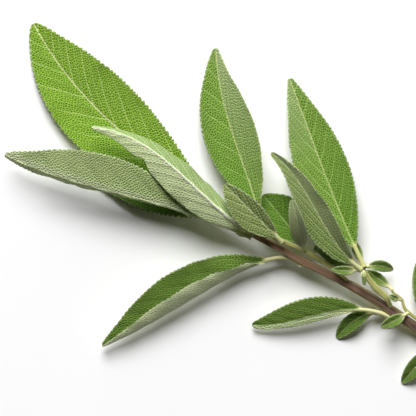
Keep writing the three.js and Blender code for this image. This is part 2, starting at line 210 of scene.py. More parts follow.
# What each leaf's own surface adds to the design: its finish, how far its teeth stand out, the rise
# and fall of its margins, how much paler each half and its tip are (below 0 is darker and greener),
# which is partly the hairs' own tone and partly painted sheen, painted light and painted shade, the
# angle of each half's side veins, how strong the fine streaks between them are, how strong the
# painted sheen along a folded midrib is, and a nick in one margin as (share of the blade, depth as a
# share, side).
PLAIN_SURFACE = dict(
    finish="deep", teeth=0.12, wave=0.12, pale_left=0.0, pale_right=0.0, pale_tip=0.0, veins_left=44,
    veins_right=44, streaks_left=0.15, streaks_right=0.15, fold_band=0.0, nick=None,
)
SURFACES = {
    "largest_leaf": dict(
        finish="bright", teeth=0.6, wave=0.3, pale_left=-0.25, veins_left=42, veins_right=30,
    ),
    # Painted sheen along the folded midrib, and a paler tip.
    "long_leaf": dict(finish="grey", teeth=0.5, wave=0.5, fold_band=1.3, pale_tip=0.3),
    # Painted shade darkens and greens the left half, whose upturned strip faces the lamp.
    "turned_leaf": dict(
        finish="silver", teeth=0.14, wave=0.5, pale_left=-0.6, pale_right=0.2, pale_tip=-0.25,
        veins_left=30, veins_right=28,
        streaks_right=0.9, nick=(0.66, 0.3, "right"),
    ),
    # Painted shade: this leaf lies under others, and its whole blade is darkened and greened.
    "shaded_leaf": dict(teeth=0.5, wave=0.3, pale_left=-0.8, pale_right=-0.8),
    # Painted light on the near half, which is folded over and faces away from the lamp.
    "boat_leaf": dict(teeth=0.3, wave=0.9, pale_left=0.8, veins_right=30, veins_left=50, streaks_right=0.5),
    # Painted light on the folded-down half.
    "side_leaf": dict(teeth=0.35, wave=0.4, pale_left=1.0, veins_right=30, streaks_right=0.5),
    # Painted sheen on the steep right half, seen edge-on.
    "tall_leaf": dict(
        finish="green", teeth=0.3, wave=0.4, pale_left=-0.35, pale_right=0.35, pale_tip=0.5, veins_right=12,
        streaks_right=0.9,
    ),
    "right_leaf": dict(
        finish="green", teeth=0.3, wave=0.4, pale_left=0, pale_right=-0.35, pale_tip=0.5, veins_right=36,
        veins_left=30,
    ),
    # Painted sheen on the steep right half, seen edge-on.
    "curled_leaf": dict(
        finish="olive", teeth=0.25, wave=0.5, pale_left=-0.4, pale_right=0.4, pale_tip=0.35,
        veins_left=18, veins_right=12,
        streaks_left=0.7, streaks_right=0.8,
    ),
    "grey_leaf": dict(
        finish="olive", teeth=0.3, wave=0.3, veins_left=26, veins_right=20,
        streaks_left=0.6, streaks_right=0.6,
    ),
    # Painted light on both steeply folded halves, which the lamp leaves dark.
    "narrow_leaf": dict(
        finish="olive", teeth=0.1, wave=0.15, pale_left=0.3, pale_right=0.5, veins_left=14, veins_right=14,
        streaks_left=0.8, streaks_right=0.8,
    ),
    "broad_leaf": dict(
        teeth=0.3, wave=0.3, pale_left=-0.75, pale_right=-0.75, veins_left=34, veins_right=34,
        streaks_left=0.5, streaks_right=0.5,
    ),
    "small_side_leaf": dict(pale_left=-0.4, pale_right=-0.4),
}

# ---- Curves -------------------------------------------------------------------------------------

UP = np.array([0.0, 0.0, 1.0])


def unit(vectors):
    return vectors / np.linalg.norm(vectors, axis=-1, keepdims=True)


def in_plan(length, heading):
    angle = math.radians(heading)
    return np.array([length * math.cos(angle), length * math.sin(angle), 0.0])


def cross_axes(tangents):
    left = unit(np.cross(UP, tangents))
    return left, np.cross(tangents, left)


def smooth(low, high, values):
    share = np.clip((values - low) / (high - low), 0, 1)
    return share * share * (3 - 2 * share)


def mix(a, b, share):
    return a + (b - a) * share


def stem_line(nodes, shares):
    """Points and directions on the smooth line through a stem's nodes, at shares of its way."""
    ends = [2 * nodes[0] - nodes[1], *nodes, 2 * nodes[-1] - nodes[-2]]
    ends = np.array(ends)
    place = np.clip(shares, 0, 1) * (len(nodes) - 1)
    span = np.minimum(place.astype(int), len(nodes) - 2)
    t = (place - span)[:, None]
    before, start, end, after = (ends[span + k] for k in range(4))
    leaving = (end - before) / 2
    arriving = (after - start) / 2
    a = 2 * start - 2 * end + leaving + arriving
    b = -3 * start + 3 * end - 2 * leaving - arriving
    points = a * t**3 + b * t**2 + leaving * t + start
    directions = 3 * a * t**2 + 2 * b * t + leaving
    return points, unit(directions)


def leaf_line(handles, shares):
    """Points and directions on a leaf's centre line, at shares of its length."""
    fine = np.linspace(0, 1, 400)
    points = curve_points(handles, fine)
    steps = np.linalg.norm(np.diff(points, axis=0), axis=1)
    along = np.concatenate([[0], np.cumsum(steps)])
    t = np.interp(shares * along[-1], along, fine)
    p = [np.array(h) for h in handles]
    u = t[:, None]
    directions = (1 - u) ** 2 * (p[1] - p[0]) + 2 * u * (1 - u) * (p[2] - p[1]) + u**2 * (p[3] - p[2])
    return curve_points(handles, t), unit(directions), along[-1]


def curve_points(handles, t):
    u = t[:, None]
    weights = ((1 - u) ** 3, 3 * u * (1 - u) ** 2, 3 * u**2 * (1 - u), u**3)
    return sum(weight * np.array(handle) for weight, handle in zip(weights, handles))


# ---- Growth -------------------------------------------------------------------------------------

grown = {}


def stem_surface(radius, angle):
    return radius * (1 - STEM_SQUARENESS * np.cos(4 * angle))


def attachment(spec, radius, direction, sink):
    """Where something grows from a stem's node. sink is how far it is let into the stem."""
    stem = grown[spec["on"]]
    share = spec["node"] / len(stem["spec"]["internodes"])
    point, growth = (row[0] for row in stem_line(stem["nodes"], np.array([share])))
    left, top = cross_axes(growth)
    angle = math.radians(spec["around"])
    outwards = top * math.cos(angle) + left * math.sin(angle)
    aslant = np.linalg.norm(np.cross(outwards, direction))
    stem_radius = mix(stem["spec"]["base"], stem["spec"]["tip"], share)
    clearance = stem_surface(stem_radius, angle) + DESIGN_GAP - sink + radius * aslant
    return point + outwards * clearance, point


def grow_stem(name, spec):
    if "on" in spec:
        _, first_heading, _ = spec["internodes"][0]
        radius = spec["base"] * (1 + STEM_SQUARENESS)
        start, _ = attachment(spec, radius, in_plan(1, first_heading), 0)
    else:
        start = np.array([0, 0, stem_surface(spec["base"], 0)])
    nodes = [start]
    for length, heading, height in spec["internodes"]:
        nodes.append((nodes[-1] + in_plan(length, heading)) * [1, 1, 0] + [0, 0, height])
    grown[name] = dict(nodes=nodes, spec=spec)


def leaf_handles(leaf, radius):
    """The four handles of a leaf's centre line, its foot let into the stem."""
    _, node = attachment(leaf, radius, UP, 0)
    tip = (node + in_plan(leaf["reach"], leaf["heading"])) * [1, 1, 0] + [0, 0, leaf["heights"][2]]

    def between(start):
        along = (tip - start) * [1, 1, 0]
        left = np.cross(UP, along)
        return [
            (start + along * share + left * aside) * [1, 1, 0] + [0, 0, height]
            for (share, aside), height in zip(leaf["bend"], leaf["heights"])
        ]

    direction = unit(between(node)[0] - node)
    start, _ = attachment(leaf, radius, direction, 0)
    foot, _ = attachment(leaf, radius, direction, DESIGN_GAP + STALK_SINK)
    return [foot, *between(start), tip]


# ---- Meshes -------------------------------------------------------------------------------------


def make_piece(name, rings, marks, material, node):
    """A closed mesh through rings of points, with a named mark on each point."""
    count, size = rings.shape[:2]
    middles = np.stack([rings[0].mean(0), rings[-1].mean(0)])
    points = np.concatenate([rings.reshape(-1, 3), middles]) * MM + ORIGIN
    ring = np.arange(count - 1)[:, None] * size
    here = np.arange(size)[None, :]
    there = (here + 1) % size
    walls = np.stack([ring + here, ring + there, ring + size + there, ring + size + here], -1)
    last = (count - 1) * size
    foot = [(count * size, int(b), int(a)) for a, b in zip(here[0], there[0])]
    top = [(count * size + 1, last + int(a), last + int(b)) for a, b in zip(here[0], there[0])]
    mesh = bpy.data.meshes.new(name)
    mesh.from_pydata(points.tolist(), [], walls.reshape(-1, 4).tolist() + foot + top)
    mesh.shade_smooth()
    for mark, values in marks.items():
        flat = np.broadcast_to(values, (count, size)).reshape(-1)
        ends = [flat[:size].mean(), flat[last:].mean()]
        layer = mesh.attributes.new(mark, "FLOAT", "POINT")
        layer.data.foreach_set("value", np.concatenate([flat, ends]).astype(np.float32))
    mesh.materials.append(material)
    piece = bpy.data.objects.new(name, mesh)
    bpy.context.scene.collection.objects.link(piece)
    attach(piece, "root")
    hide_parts(node)


# ---- Stems --------------------------------------------------------------------------------------

STEM_SIDES = 48
STEM_STEP = 0.35  # along the stem
SHOOT_FOOT = 4.5  # the length over which a shoot leaves its stem
SHOOT_SINK = 0.85  # how far towards its stem's middle a shoot's foot is let in
SHOOT_TAPER = 0.35  # how much thinner the foot is there
NODE_SWELLING = 0.14
NODE_SHARPNESS = 5  # a node's swelling takes up about a fifth of an internode to each side
CAP_RINGS = (0.97, 0.55)  # of an end's flat face, as shares of its radius


def stem_rings(name, shares, sides, swollen=True):
    """Rings of points round a stem, plain as in the design or swollen as it grew."""
    stem = grown[name]
    spec = stem["spec"]
    centres, directions = stem_line(stem["nodes"], shares)
    left, top = cross_axes(directions)
    angle = 2 * np.pi * np.arange(sides) / sides
    radius = mix(spec["base"], spec["tip"], shares)
    if swollen and "on" in spec:
        _, stem_middle = attachment(spec, spec["base"], UP, 0)
        foot = 1 - smooth(0, SHOOT_FOOT, shares * sum(internode[0] for internode in spec["internodes"]))
        centres = centres + SHOOT_SINK * foot[:, None] * (stem_middle - stem["nodes"][0])
        radius = radius * (1 - SHOOT_TAPER * foot)
    surface = stem_surface(radius[:, None], angle[None, :])
    if swollen:
        surface = surface * stem_relief(spec, shares, angle)
    out = -np.sin(angle)[None, :, None] * left[:, None] + np.cos(angle)[None, :, None] * top[:, None]
    return centres[:, None] + surface[..., None] * out


def stem_relief(spec, shares, angle):
    """Swellings at the nodes, fine grooves along the stem, and soft lumps, as shares of the radius."""
    internodes = len(spec["internodes"])
    place = shares * internodes
    nearest = np.clip(np.round(place), 0, internodes)
    swelling = NODE_SWELLING * np.exp(-(((place - nearest) * NODE_SHARPNESS) ** 2)) * (nearest > 0)
    grooves = 0.012 * np.sin(17 * angle)[None, :] + 0.01 * np.sin(29 * angle + 1)[None, :]
    lumps = 0.02 * np.sin(9.1 * place)[:, None] * np.sin(2 * angle + 0.6)[None, :]
    return 1 + swelling[:, None] + grooves + lumps


def make_stem(name, material):
    stem = grown[name]
    spec = stem["spec"]
    length = sum(internode[0] for internode in spec["internodes"])
    shares = np.linspace(0, 1, int(length / STEM_STEP) + 1)
    rings = stem_rings(name, shares, STEM_SIDES)
    angle = 2 * np.pi * np.arange(STEM_SIDES) / STEM_SIDES
    ridge = np.clip(-np.cos(4 * angle), 0, 1)[None, :] * np.ones((len(shares), 1))
    # The side towards the table, and the left side near the cut, stay green.
    shade = smooth(0.3, 0.8, -np.sin(angle + 0.4))[None, :] * smooth(0.85, 0.5, shares)[:, None]
    shade = np.maximum(shade, smooth(0.5, 0.9, -np.cos(angle))[None, :])
    along = shares[:, None] * length * np.ones_like(ridge)
    # Both ends are closed by a flat face whose rim is its own ring, so that the edge stays crisp.
    cut = np.zeros(rings.shape[:2])
    caps = []
    for end in (0, -1):
        middle = rings[end].mean(0)
        caps.append([middle + (rings[end] - middle) * inset for inset in CAP_RINGS])
    rings = np.concatenate([caps[0][::-1], rings, caps[1]])
    marks = dict(
        ridge=ridge, shade=shade, along=along,
        across=np.sin(angle)[None, :] * np.ones_like(ridge),
        above=np.cos(angle)[None, :] * np.ones_like(ridge),
    )
    end_rings = ((len(CAP_RINGS), len(CAP_RINGS)), (0, 0))
    marks = {mark: np.pad(values, end_rings) for mark, values in marks.items()}
    marks["cut"] = np.pad(cut, end_rings, constant_values=1)
    make_piece(name + "_skin", rings, marks, material, name)


# ---- Leaves -------------------------------------------------------------------------------------

STATION_STEP = 0.22  # along the leaf
COLUMN_STEP = 0.27  # across it
COLUMN_SPREAD = 1.12  # columns are closer together beside the midrib
PEBBLE_SIZE = 0.66  # between the finest veins
BLADE_HALF_THICKNESS = 0.15
FOLD_WIDTH = 0.3  # how far from the midrib a half has taken up its fold
TIP_LENGTH = 2.4  # of the rounded tip
TIP_STEPS = 10
TOOTH_LENGTH = 1.4
TOOTH_DRIFT_LENGTH = 2.9  # over which the teeth grow closer together or further apart
LONG_WAVE = 6.5  # the lengths of the margins' rise and fall
SHORT_WAVE = 2.6
VEIN_BEND = 0.03  # how fast a side vein turns towards the tip, per millimetre
VEIN_SWAY = 0.35  # how far it strays from that line
VEIN_OFFSET = 0.37  # of the right half's side veins from the left half's, in vein spacings
STREAK_SPACING = 0.8  # of the fine lines between side veins
QUILTING = 0.12  # how far the blade swells between two side veins
GROOVE_DEPTH = 0.2  # of the channel over the midrib
GROOVE_WIDTH = 0.8
NICK_SHARE = 0.045  # of the blade's length
STALK_FOOT_LENGTH = 0.9  # over which a stalk widens to clasp its stem
STALK_FOOT_SWELLING = 0.35


def outline(share, widest, fullness):
    """A blade's half width at a share of its length, as a share of its greatest."""
    inside = np.clip(share, 1e-6, 1 - 1e-6)
    rise = (inside / widest) ** widest
    fall = ((1 - inside) / (1 - widest)) ** (1 - widest)
    return np.where((share > 0) & (share < 1), (rise * fall) ** fullness, 0)


def random_at(cells, seed):
    """A random number from 0 to 1 for each whole number."""
    scattered = np.sin(cells * 127.1 + seed * 17.3) * 43758.5453
    return scattered - np.floor(scattered)


def soft_noise(x, seed):
    """A smooth line of random heights from -1 to 1 along x."""
    cell = np.floor(x)
    return 2 * mix(random_at(cell, seed), random_at(cell + 1, seed), smooth(0, 1, x - cell)) - 1


def half_blade(leaf, side, shares, blade, rib, length, columns, seed):
    """One half of a leaf in the plane across it, from the midrib outwards: its outward and upward
    offsets, how far it is turned up, and where each point is among its veins and pebbles."""
    surface = leaf["surface"]
    sign = 1 if side == "left" else -1
    along = shares * length
    half_width = half_widths(leaf, side, shares, blade, length)
    # Small round teeth that lean towards the tip.
    phase = along / TOOTH_LENGTH + 0.4 * soft_noise(along / TOOTH_DRIFT_LENGTH, seed + 3)
    tooth = np.sin(np.pi * (phase % 1) ** 1.3) ** 0.6 - 0.6
    teeth = surface["teeth"] * tooth * smooth(0.5, 2.5, half_width)
    width = np.hypot(rib, half_width)
    open_share = smooth(0, 4, half_width / rib)
    step = (np.arange(1, columns + 1) / columns) ** COLUMN_SPREAD
    q = width[:, None] * step + teeth[:, None] * step**6
    fold = mix(*leaf["fold_" + side], np.clip(blade, 0, 1)) * open_share
    curl = leaf["curl_" + side] * open_share
    middle = np.concatenate([q[:, :1] / 2, (q[:, 1:] + q[:, :-1]) / 2], axis=1)
    settle = 1 - np.exp(-middle / FOLD_WIDTH)
    angle = np.radians(fold[:, None] * settle + curl[:, None] * middle / width[:, None])
    # The margins rise and fall along the leaf.
    wave = soft_noise(along / LONG_WAVE, seed + 5) + 0.4 * soft_noise(along / SHORT_WAVE, seed + 9)
    wave_height = surface["wave"] * wave * smooth(1, 5, half_width)
    angle += 2 * wave_height[:, None] * (middle / width[:, None]) / np.maximum(width, 1)[:, None]
    steps = np.diff(q, axis=1, prepend=0)
    # A side vein leaves the midrib at an angle and turns towards the tip.
    vein_angle = math.radians(surface["veins_" + side])
    lean = 1 / math.tan(vein_angle)
    vein_place = along[:, None] - q * lean - VEIN_BEND * q * q + VEIN_SWAY * np.sin(q * 0.9 + seed)
    vein_count = vein_place / leaf["vein_pitch"] + (0 if sign > 0 else VEIN_OFFSET)
    off_vein = np.abs((vein_count + 0.5) % 1 - 0.5)
    veined = np.exp(-((q / (0.8 * max(leaf[side], 1))) ** 4)) * smooth(0.4, 2, half_width)[:, None]
    pebble_size = leaf["pebble_size"]
    pebble_stretch = 1.1 + 0.25 * surface["streaks_" + side]
    # pale is partly the hairs' own tone and partly painted sheen, painted light and painted shade; the band
    # along a folded midrib is painted sheen.
    pale = surface["pale_" + side] + surface["pale_tip"] * (2 * blade[:, None] - 1)
    pale = pale + surface["fold_band"] * (sign < 0) * np.exp(-(((q - 0.8) / 0.9) ** 2))
    on_blade = np.maximum(smooth(0.2, 1.6, half_width), smooth(0.4, 0.5, blade))
    return dict(
        sign=sign,
        out=sign * np.cumsum(steps * np.cos(angle), axis=1),
        up=np.cumsum(steps * np.sin(angle), axis=1),
        angle=angle,
        half_width=half_width,
        swell=smooth(0, 0.5, off_vein) * veined,
        off_rib=q,
        off_midrib=q / (0.1 + 0.3 * rib[:, None]),
        off_margin=np.clip(q[:, -1:] - q, 0, 5),
        vein_count=vein_count,
        veined=veined,
        vein_spacing=leaf["vein_pitch"] * math.sin(vein_angle) * np.ones_like(q),
        pebble_across=vein_place * math.sin(vein_angle) / pebble_size + 31 * seed,
        pebble_along=(along[:, None] + q * math.tan(vein_angle)) * math.cos(vein_angle)
        / pebble_size / pebble_stretch + 9 * sign,
        pale=pale * np.ones_like(q),
        streaky=surface["streaks_" + side] * smooth(0.4, 2, half_width)[:, None] * np.ones_like(q),
        on_blade=on_blade[:, None] * np.ones_like(q),
    )


def half_widths(leaf, side, shares, blade, length):
    """Half the blade's width at each station: its outline, a nick if it has one, and a round tip."""
    half_width = leaf[side] * outline(blade, leaf["widest"], leaf["fullness"])
    nick = leaf["surface"]["nick"]
    if nick and nick[2] == side:
        place, depth, _ = nick
        half_width *= 1 - depth * np.exp(-(((blade - place) / NICK_SHARE) ** 2))
    to_tip = (1 - shares) * length
    tip_length = TIP_LENGTH * min(1, length / 25)
    half_width += 0.3 * tip_length * np.exp(-((to_tip / (2.2 * tip_length)) ** 2))
    tip_width = np.interp(1 - tip_length / length, shares, half_width)
    rounded = tip_width * np.sqrt(np.clip(1 - (1 - to_tip / tip_length) ** 2, 0, 1))
    return np.where(to_tip < tip_length, np.minimum(half_width, rounded), half_width)


def faces(half, rib):
    """The upper and lower faces of half a blade, as offsets across the leaf."""
    q, ribs = half["off_rib"], rib[:, None]
    blade = smooth(0.3, 1.5, half["half_width"])[:, None]
    round_edge = np.sqrt(np.clip(1 - (q / q[:, -1:]) ** 6, 0, 1))
    stalk = np.sqrt(np.clip(ribs**2 - q**2, 0, None))
    thickness = BLADE_HALF_THICKNESS * round_edge * smooth(0, 0.6, half["half_width"])[:, None]
    swell = QUILTING * half["swell"] * round_edge
    groove = GROOVE_DEPTH * np.exp(-((q / GROOVE_WIDTH) ** 2)) * blade
    upper = np.maximum(thickness, stalk * mix(1, 0.5, blade)) + swell - groove
    lower = np.maximum(thickness, stalk) - swell
    lower[:, -1] = 0
    upper[:, -1] = 0
    sin, cos = np.sin(half["angle"]), np.cos(half["angle"])
    sign = half["sign"]
    above = (half["out"] - sign * sin * upper, half["up"] + cos * upper)
    below = (half["out"] + sign * sin * lower, half["up"] - cos * lower)
    return above, below


def make_leaf(name, number):
    leaf = PLAIN | LEAVES[name]
    leaf["surface"] = PLAIN_SURFACE | SURFACES.get(name, {})
    widest_half = max(leaf["left"], leaf["right"])
    leaf["vein_pitch"] = 1.6 + 0.62 * widest_half
    leaf["pebble_size"] = PEBBLE_SIZE * (1 if widest_half > 4 else 0.8)
    stalk_radius = min(STALK_RADIUS, STALK_SHARE * (leaf["left"] + leaf["right"]) + 0.1)
    handles = leaf_handles(leaf, stalk_radius)
    _, _, length = leaf_line(handles, np.array([0.0, 1.0]))
    # Stations are even along the leaf and closer together round its tip.
    tip_share = min(TIP_LENGTH / length, 0.1)
    body = np.linspace(0, 1 - tip_share, max(int(length / STATION_STEP), 16))
    turn = np.linspace(0, np.pi / 2, TIP_STEPS + 1)[1:]
    shares = np.concatenate([body, 1 - tip_share * (1 - np.sin(turn))])
    shares[-1] = 1 - tip_share * 0.002  # so that the last ring isn't a point
    centres, directions, _ = leaf_line(handles, shares)
    left, top = cross_axes(directions)
    roll = math.radians(leaf["roll"])
    sideways = left * math.cos(roll) + top * math.sin(roll)
    upwards = top * math.cos(roll) - left * math.sin(roll)
    bare = leaf["stalk"] / length
    blade = (shares - bare) / (1 - bare)
    # The stalk's foot is a little wider, where it clasps the stem.
    clasp = STALK_FOOT_SWELLING * np.exp(-shares * length / STALK_FOOT_LENGTH)
    rib = mix(stalk_radius, RIB_TIP_RADIUS, shares) * (1 + clasp)
    columns = max(int(widest_half / COLUMN_STEP), 5)
    seed = number * 3.7 + 1
    halves = [
        half_blade(leaf, side, shares, blade, rib, length, columns, seed) for side in ("left", "right")
    ]
    (left_upper, left_lower), (right_upper, right_lower) = (faces(half, rib) for half in halves)
    opened = smooth(0.3, 1.5, halves[0]["half_width"])
    rib_heights = (rib * mix(1, 0.5, opened) - 0.08 * opened, -rib)

    def ring(l_upper, l_lower, r_upper, r_lower, rib_top, rib_foot):
        """Values round each ring: from the midrib's top over the right half to its foot, and back
        over the left half."""
        return np.concatenate([
            rib_top, r_upper, r_lower[:, -2::-1], rib_foot, l_lower[:, :-1], l_upper[:, ::-1],
        ], axis=1)

    zero = np.zeros((len(shares), 1))
    out = ring(left_upper[0], left_lower[0], right_upper[0], right_lower[0], zero, zero)
    up = ring(
        left_upper[1], left_lower[1], right_upper[1], right_lower[1],
        rib_heights[0][:, None], rib_heights[1][:, None],
    )
    rings = centres[:, None] + out[..., None] * sideways[:, None] + up[..., None] * upwards[:, None]

    def mark(key, at_rib):
        l, r = (half[key] for half in halves)
        return ring(l, l, r, r, at_rib, at_rib)

    face = np.zeros_like(halves[0]["off_rib"])
    marks = {
        "off midrib": mark("off_midrib", zero),
        "off margin": mark("off_margin", zero + 5),
        "vein count": mark("vein_count", halves[0]["vein_count"][:, :1]),
        "veined": mark("veined", zero),
        "pebble along": mark("pebble_along", halves[0]["pebble_along"][:, :1]),
        "pebble across": mark("pebble_across", halves[0]["pebble_across"][:, :1]),
        "pale": mark("pale", halves[0]["pale"][:, :1] / 2 + halves[1]["pale"][:, :1] / 2),
        "streaky": mark("streaky", zero),
        "on blade": mark("on_blade", halves[0]["on_blade"][:, :1]),
        "under": ring(face, face + 1, face, face + 1, zero, zero + 1),
        "vein spacing": mark("vein_spacing", halves[0]["vein_spacing"][:, :1]),
    }
    finish = leaf["surface"]["finish"]
    make_piece(name + "_blade", rings, marks, LEAF_FINISHES[finish], name)


# ---- Materials ----------------------------------------------------------------------------------


class Nodes:
    """Short ways to add and join the nodes of one tree."""

    def __init__(self, tree):
        self.tree = tree

    def put(self, value, socket):
        if isinstance(value, bpy.types.NodeSocket):
            self.tree.links.new(value, socket)
        else:
            socket.default_value = value

    def mark(self, name):
        node = self.tree.nodes.new("ShaderNodeAttribute")
        node.attribute_name = name
        return node.outputs["Fac"]

    def math(self, operation, a, b=0.0, clamp=False):
        node = self.tree.nodes.new("ShaderNodeMath")
        node.operation = operation
        node.use_clamp = clamp
        self.put(a, node.inputs[0])
        self.put(b, node.inputs[1])
        return node.outputs[0]

    def blend(self, share, a, b, how="MIX"):
        node = self.tree.nodes.new("ShaderNodeMix")
        node.data_type = "RGBA"
        node.blend_type = how
        self.put(share, node.inputs[0])
        self.put(a, node.inputs[6])
        self.put(b, node.inputs[7])
        return node.outputs[2]

    def noise(self, scale, detail=2.0, roughness=0.5, place=None):
        if place is None:
            place = self.tree.nodes.new("ShaderNodeTexCoord").outputs["Object"]
        node = self.tree.nodes.new("ShaderNodeTexNoise")
        node.inputs["Scale"].default_value = scale
        node.inputs["Detail"].default_value = detail
        node.inputs["Roughness"].default_value = roughness
        self.put(place, node.inputs["Vector"])
        return node.outputs["Fac"]

    def cells(self, place, feature):
        node = self.tree.nodes.new("ShaderNodeTexVoronoi")
        node.voronoi_dimensions = "2D"
        node.feature = feature
        node.inputs["Scale"].default_value = 1
        node.inputs["Randomness"].default_value = 0.85
        self.put(place, node.inputs["Vector"])
        return node.outputs

    def range(self, value, low, high, to_low=0.0, to_high=1.0):
        node = self.tree.nodes.new("ShaderNodeMapRange")
        node.interpolation_type = "SMOOTHSTEP"
        self.put(value, node.inputs["Value"])
        for key, number in zip(("From Min", "From Max", "To Min", "To Max"), (low, high, to_low, to_high)):
            self.put(number, node.inputs[key])
        return node.outputs["Result"]

    def bump(self, height, strength, distance):
        node = self.tree.nodes.new("ShaderNodeBump")
        node.inputs["Strength"].default_value = strength
        node.inputs["Distance"].default_value = distance
        self.put(height, node.inputs["Height"])
        return node.outputs["Normal"]

    def group(self, group, **inputs):
        node = self.tree.nodes.new("ShaderNodeGroup")
        node.node_tree = group
        for key, value in inputs.items():
            self.put(value, node.inputs[key.replace("_", " ")])
        return node.outputs


def new_group(name, inputs, outputs):
    """An empty node group with named sockets, as (group, its nodes, its inputs, its outputs)."""
    group = bpy.data.node_groups.new(name, "ShaderNodeTree")
    kinds = {"color": "NodeSocketColor", "value": "NodeSocketFloat"}
    for label, kind in inputs.items():
        group.interface.new_socket(label, in_out="INPUT", socket_type=kinds[kind])
    for label, kind in outputs.items():
        group.interface.new_socket(label, in_out="OUTPUT", socket_type=kinds[kind])
    source = group.nodes.new("NodeGroupInput")
    sink = group.nodes.new("NodeGroupOutput")
    return group, Nodes(group), source.outputs, sink.inputs


def felt_group():
    """The fine pale hairs that cover sage: a mask that changes over the surface, and their rise."""
    group, n, given, out = new_group("felt", {"Amount": "value"}, {"Mask": "value", "Height": "value"})
    fine = n.noise(5200, 3, 0.6)
    patches = n.noise(420, 2, 0.5)
    mask = n.math("MULTIPLY", n.range(fine, 0.4, 0.7), n.range(patches, 0.3, 0.7, 0.55, 1.0))
    n.put(n.math("MULTIPLY", mask, given["Amount"], clamp=True), out["Mask"])
    n.put(fine, out["Height"])
    return group


def drift_group():
    """Slow change of tone over a surface, from one colour to another."""
    inputs = {"Color": "color", "Other Color": "color"}
    group, n, given, out = new_group("tone drift", inputs, {"Color": "color"})
    share = n.range(n.noise(110, 2, 0.5), 0.35, 0.68)
    n.put(n.blend(share, given["Color"], given["Other Color"]), out["Color"])
    return group


def pebble_group():
    """Sage's pebbled skin: the net of finest veins, each pebble's own tone, and its rounded height."""
    outputs = {"Net": "value", "Middle": "value", "Tone": "value", "Height": "value"}
    group, n, _, out = new_group("pebbles", {}, outputs)
    join = group.nodes.new("ShaderNodeCombineXYZ")
    n.put(n.mark("pebble along"), join.inputs[0])
    n.put(n.mark("pebble across"), join.inputs[1])
    edge = n.cells(join.outputs[0], "DISTANCE_TO_EDGE")["Distance"]
    n.put(n.range(edge, 0.2, 0.05), out["Net"])
    n.put(n.range(edge, 0.02, 0.38), out["Height"])
    cell = n.cells(join.outputs[0], "F1")
    n.put(n.range(cell["Distance"], 0.42, 0.12), out["Middle"])
    tone = group.nodes.new("ShaderNodeSeparateColor")
    n.put(cell["Color"], tone.inputs[0])
    n.put(tone.outputs[0], out["Tone"])
    return group


def vein_group():
    """Masks of the side veins, of the thinner ones and the streaks between them, and of the midrib."""
    outputs = {"Side": "value", "Between": "value", "Streaks": "value", "Midrib": "value"}
    group, n, _, out = new_group("veins", {}, outputs)
    count, spacing = n.mark("vein count"), n.mark("vein spacing")
    for label, offset, width in (("Side", 0.0, 0.13), ("Between", 0.5, 0.09)):
        off_vein = n.math("PINGPONG", n.math("ADD", count, offset), 0.5)
        off_vein = n.math("MULTIPLY", off_vein, spacing)
        line = n.range(off_vein, 2 * width, 0.4 * width)
        n.put(n.math("MULTIPLY", line, n.mark("veined")), out[label])
    streaks = n.math("MULTIPLY", count, n.math("DIVIDE", spacing, STREAK_SPACING))
    off_streak = n.math("PINGPONG", streaks, 0.5)
    n.put(n.math("MULTIPLY", n.range(off_streak, 0.42, 0.12), n.mark("streaky")), out["Streaks"])
    below = n.math("ADD", n.mark("under"), 1.0)
    n.put(n.range(n.math("DIVIDE", n.mark("off midrib"), below), 1.3, 0.6), out["Midrib"])
    return group


def leaf_face_group():
    """One face of a leaf: pebbles, the net of fine veins between them, side veins and midrib."""
    inputs = {
        "Pebble": "color", "Dark Pebble": "color", "Net": "color", "Vein": "color", "Rib": "color",
        "Net Strength": "value", "Vein Strength": "value", "Rib Strength": "value",
    }
    group, n, given, out = new_group("leaf face", inputs, {"Color": "color"})
    pebbles, veins = n.group(PEBBLES), n.group(VEINS)
    dark = n.math("MULTIPLY", pebbles["Middle"], n.range(pebbles["Tone"], 0, 1, 0.55, 1.0))
    color = n.blend(dark, given["Pebble"], given["Dark Pebble"])
    deeper = n.blend(1.0, color, (0.84, 0.9, 0.8, 1), "MULTIPLY")
    color = n.group(DRIFT, Color=color, Other_Color=deeper)["Color"]
    color = n.blend(n.math("MULTIPLY", pebbles["Net"], given["Net Strength"]), color, given["Net"])
    color = n.blend(n.math("MULTIPLY", veins["Streaks"], 0.6), color, given["Net"])
    side = n.math("MULTIPLY", veins["Side"], given["Vein Strength"])
    between = n.math("MULTIPLY", veins["Between"], n.math("MULTIPLY", given["Vein Strength"], 0.5))
    color = n.blend(n.math("MAXIMUM", side, between), color, given["Vein"])
    color = n.blend(n.math("MULTIPLY", veins["Midrib"], given["Rib Strength"]), color, given["Rib"])
    n.put(color, out["Color"])
    return group


